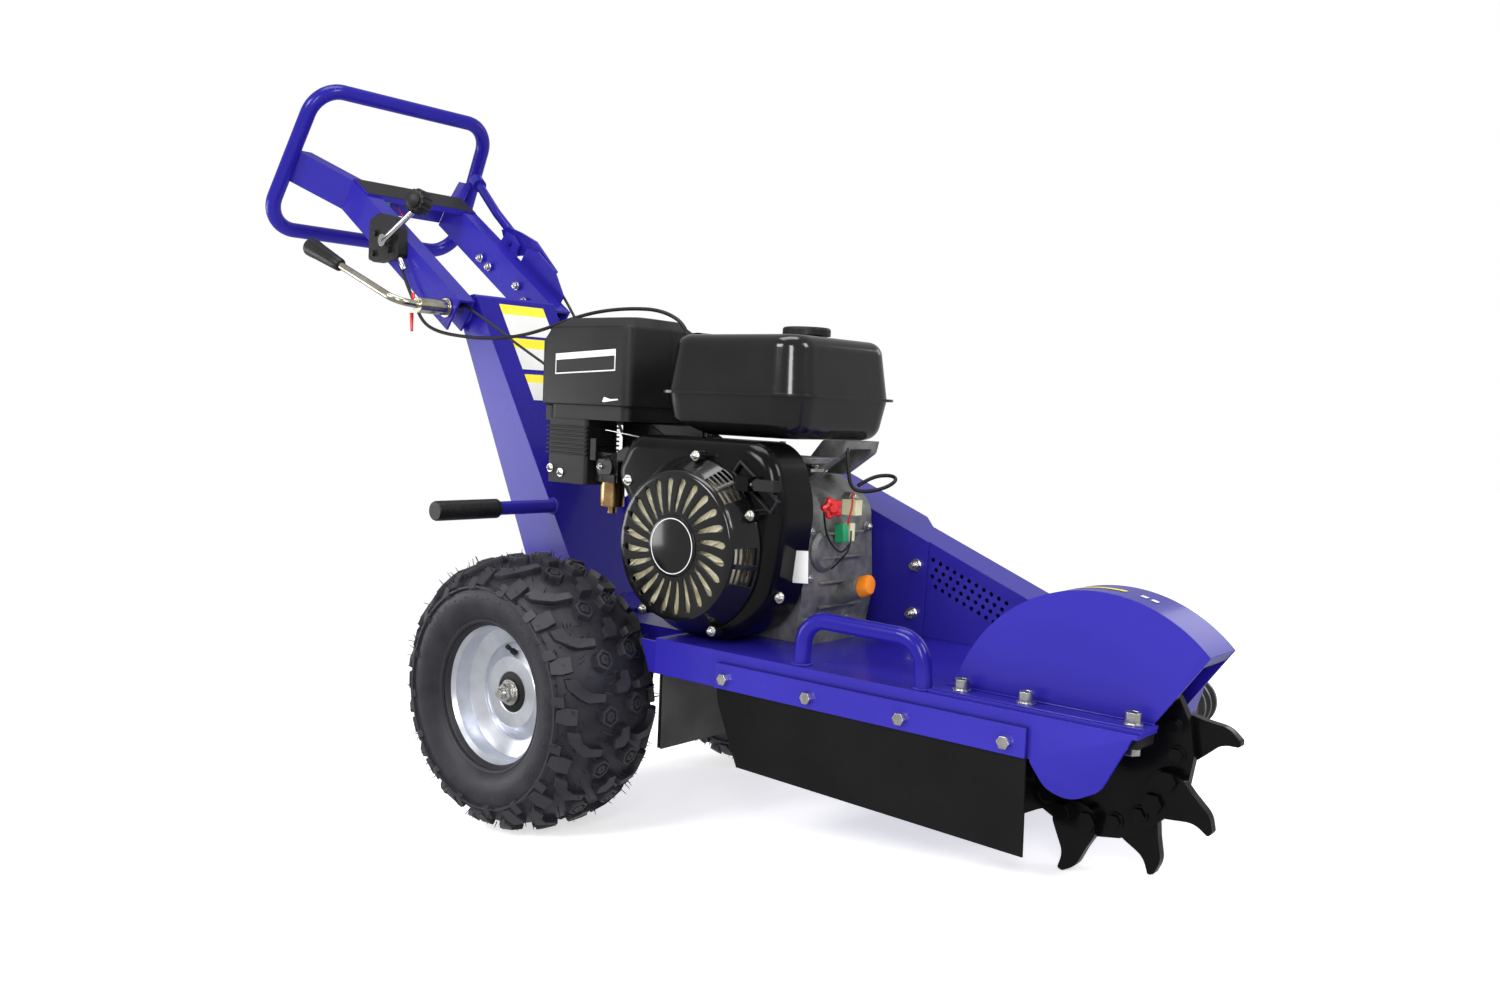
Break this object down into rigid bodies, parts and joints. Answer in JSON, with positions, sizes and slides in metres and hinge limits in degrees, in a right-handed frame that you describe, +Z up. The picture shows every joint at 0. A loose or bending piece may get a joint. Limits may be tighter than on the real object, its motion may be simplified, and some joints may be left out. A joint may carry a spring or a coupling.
{
  "type": "stump grinder",
  "caption": "Walk-behind stump grinder with a petrol engine on a wheeled deck, belt-driven toothed cutter under a rolled guard and a tilting loop handle.",
  "frame": {"origin": "centre of the bounding box at ground level", "axes": "+X forward, towards the cutter; +Y to the machine's left; +Z up"},
  "size_m": [1.7575, 0.7222, 1.2944],
  "materials": {
    "blue_paint": "gloss",
    "black_paint": "gloss",
    "zinc": "satin",
    "steel": "satin",
    "cast_black": "satin",
    "cast_grey": "cast",
    "tyre_rubber": "matte",
    "rubber": "matte",
    "black_plastic": "satin",
    "red_plastic": "gloss",
    "orange_plastic": "gloss",
    "brass": "satin",
    "filter_foam": "matte",
    "rope": "matte",
    "chrome": "polished",
    "white_plastic": "satin"
  },
  "bodies": {
    "chassis": {"air_cleaner_base": "black_plastic", "air_cleaner_cover": "black_plastic", "air_filter": "filter_foam", "axle": "zinc", "axle_nuts": "zinc", "bearing_blocks": "cast_black", "belt_guard_backplate": "blue_paint", "belt_guard_cover": "blue_paint", "blower_housing": "black_paint", "carburettor": "cast_grey", "chassis_bolts": "zinc", "control_cables": "black_plastic", "crankcase": "cast_grey", "cutter_guard": "blue_paint", "cylinder": "cast_black", "deck_frame": "blue_paint", "drive_belts": "rubber", "flap_strips": "blue_paint", "float_bowl": "brass", "fuel_tank": "black_paint", "governor_linkage": "cast_grey", "grab_bar_grips": "black_plastic", "grab_bars": "blue_paint", "ignition_module": "white_plastic", "muffler": "black_paint", "muffler_shield": "black_paint", "recoil_cover": "black_paint", "riser_column": "blue_paint", "rubber_flaps": "rubber", "shaft_bearings": "zinc", "spark_plug": "black_plastic", "starter_rope": "rope", "tank_bracket": "cast_grey", "valve_cover": "cast_grey"},
    "wheel_right": {"tyre_right": "tyre_rubber", "rim_right": "steel"},
    "wheel_left": {"tyre_left": "tyre_rubber", "rim_left": "steel"},
    "cutter": {"cutter_disc": "black_paint", "cutter_teeth": "black_paint", "tooth_bolts": "black_paint", "cutter_shaft": "zinc", "cutter_pulley": "zinc"},
    "crank": {"crankshaft": "zinc", "flywheel": "cast_grey", "clutch_pulley": "zinc"},
    "handle": {"handle_arms": "blue_paint", "handle_loop": "blue_paint", "handle_panel": "blue_paint", "throttle_housing": "black_plastic", "bail_bracket": "blue_paint"},
    "throttle": {"throttle_lever": "chrome"},
    "bail": {"bail_lever": "blue_paint"},
    "clamp": {"clamp_lever": "zinc"},
    "starter_grip": {"recoil_grip": "black_plastic"},
    "tank_cap": {"fuel_cap": "black_plastic"},
    "oil_filler_cap": {"oil_cap": "orange_plastic"},
    "switch_knob": {"engine_switch": "red_plastic"},
    "choke": {"choke_lever": "black_plastic"},
    "fuel_valve": {"fuel_valve_lever": "black_plastic"}
  },
  "joints": [
    {"name": "wheel_right_spin", "type": "hinge", "parent": "chassis", "child": "wheel_right", "pos_m": [-0.11971, -0.27, 0.203], "axis": [0, 1, 0], "continuous": true},
    {"name": "wheel_left_spin", "type": "hinge", "parent": "chassis", "child": "wheel_left", "pos_m": [-0.11971, 0.27, 0.203], "axis": [0, 1, 0], "continuous": true},
    {"name": "cutter_spin", "type": "hinge", "parent": "chassis", "child": "cutter", "pos_m": [0.71795, -0.14, 0.15386], "axis": [0, 1, 0], "continuous": true},
    {"name": "crank_spin", "type": "hinge", "parent": "chassis", "child": "crank", "pos_m": [0.15687, 0, 0.40225], "axis": [0, 1, 0], "continuous": true},
    {"name": "handle_tilt", "type": "hinge", "parent": "chassis", "child": "handle", "pos_m": [-0.4436, 0, 0.83827], "axis": [0, 1, 0], "range_deg": [-12, 25], "deforming": ["control_cables"]},
    {"name": "clamp_lever_turn", "type": "hinge", "parent": "handle", "child": "clamp", "pos_m": [-0.4436, -0.131, 0.83827], "axis": [0, 1, 0], "range_deg": [-60, 80]},
    {"name": "throttle_lever_turn", "type": "hinge", "parent": "handle", "child": "throttle", "pos_m": [-0.57278, -0.15, 0.97833], "axis": [0, 1, 0], "range_deg": [-35, 30]},
    {"name": "bail_squeeze", "type": "hinge", "parent": "handle", "child": "bail", "pos_m": [-0.56631, 0.134, 1.00729], "axis": [0, 1, 0], "range_deg": [0, 16], "stiffness_Nm_per_rad": 6, "springref_deg": -20.05},
    {"name": "starter_pull", "type": "slide", "parent": "chassis", "child": "starter_grip", "axis": [0.9896, 0, -0.144], "range_m": [0, 0.45], "stiffness_N_per_m": 40, "springref_m": -0.1, "deforming": ["starter_rope"]},
    {"name": "fuel_cap_turn", "type": "hinge", "parent": "chassis", "child": "tank_cap", "pos_m": [0.23019, 0.01, 0.69777], "axis": [0.144, 0, 0.9896], "range_deg": [0, 90]},
    {"name": "oil_cap_turn", "type": "hinge", "parent": "chassis", "child": "oil_filler_cap", "pos_m": [0.31016, -0.006, 0.32402], "axis": [0.9748, 0, 0.2229], "range_deg": [0, 360]},
    {"name": "engine_switch_turn", "type": "hinge", "parent": "chassis", "child": "switch_knob", "pos_m": [0.31098, -0.07, 0.44045], "axis": [0.7429, -0.6606, -0.1081], "range_deg": [0, 60]},
    {"name": "choke_turn", "type": "hinge", "parent": "chassis", "child": "choke", "pos_m": [-0.07596, -0.14, 0.54527], "axis": [0, 1, 0], "range_deg": [0, 40]},
    {"name": "fuel_valve_turn", "type": "hinge", "parent": "chassis", "child": "fuel_valve", "pos_m": [-0.06064, -0.14, 0.51171], "axis": [0, 1, 0], "range_deg": [0, 60]}
  ],
  "couplings": [
    {"joint": "crank_spin", "follows": "cutter_spin", "ratio": 1}
  ]
}
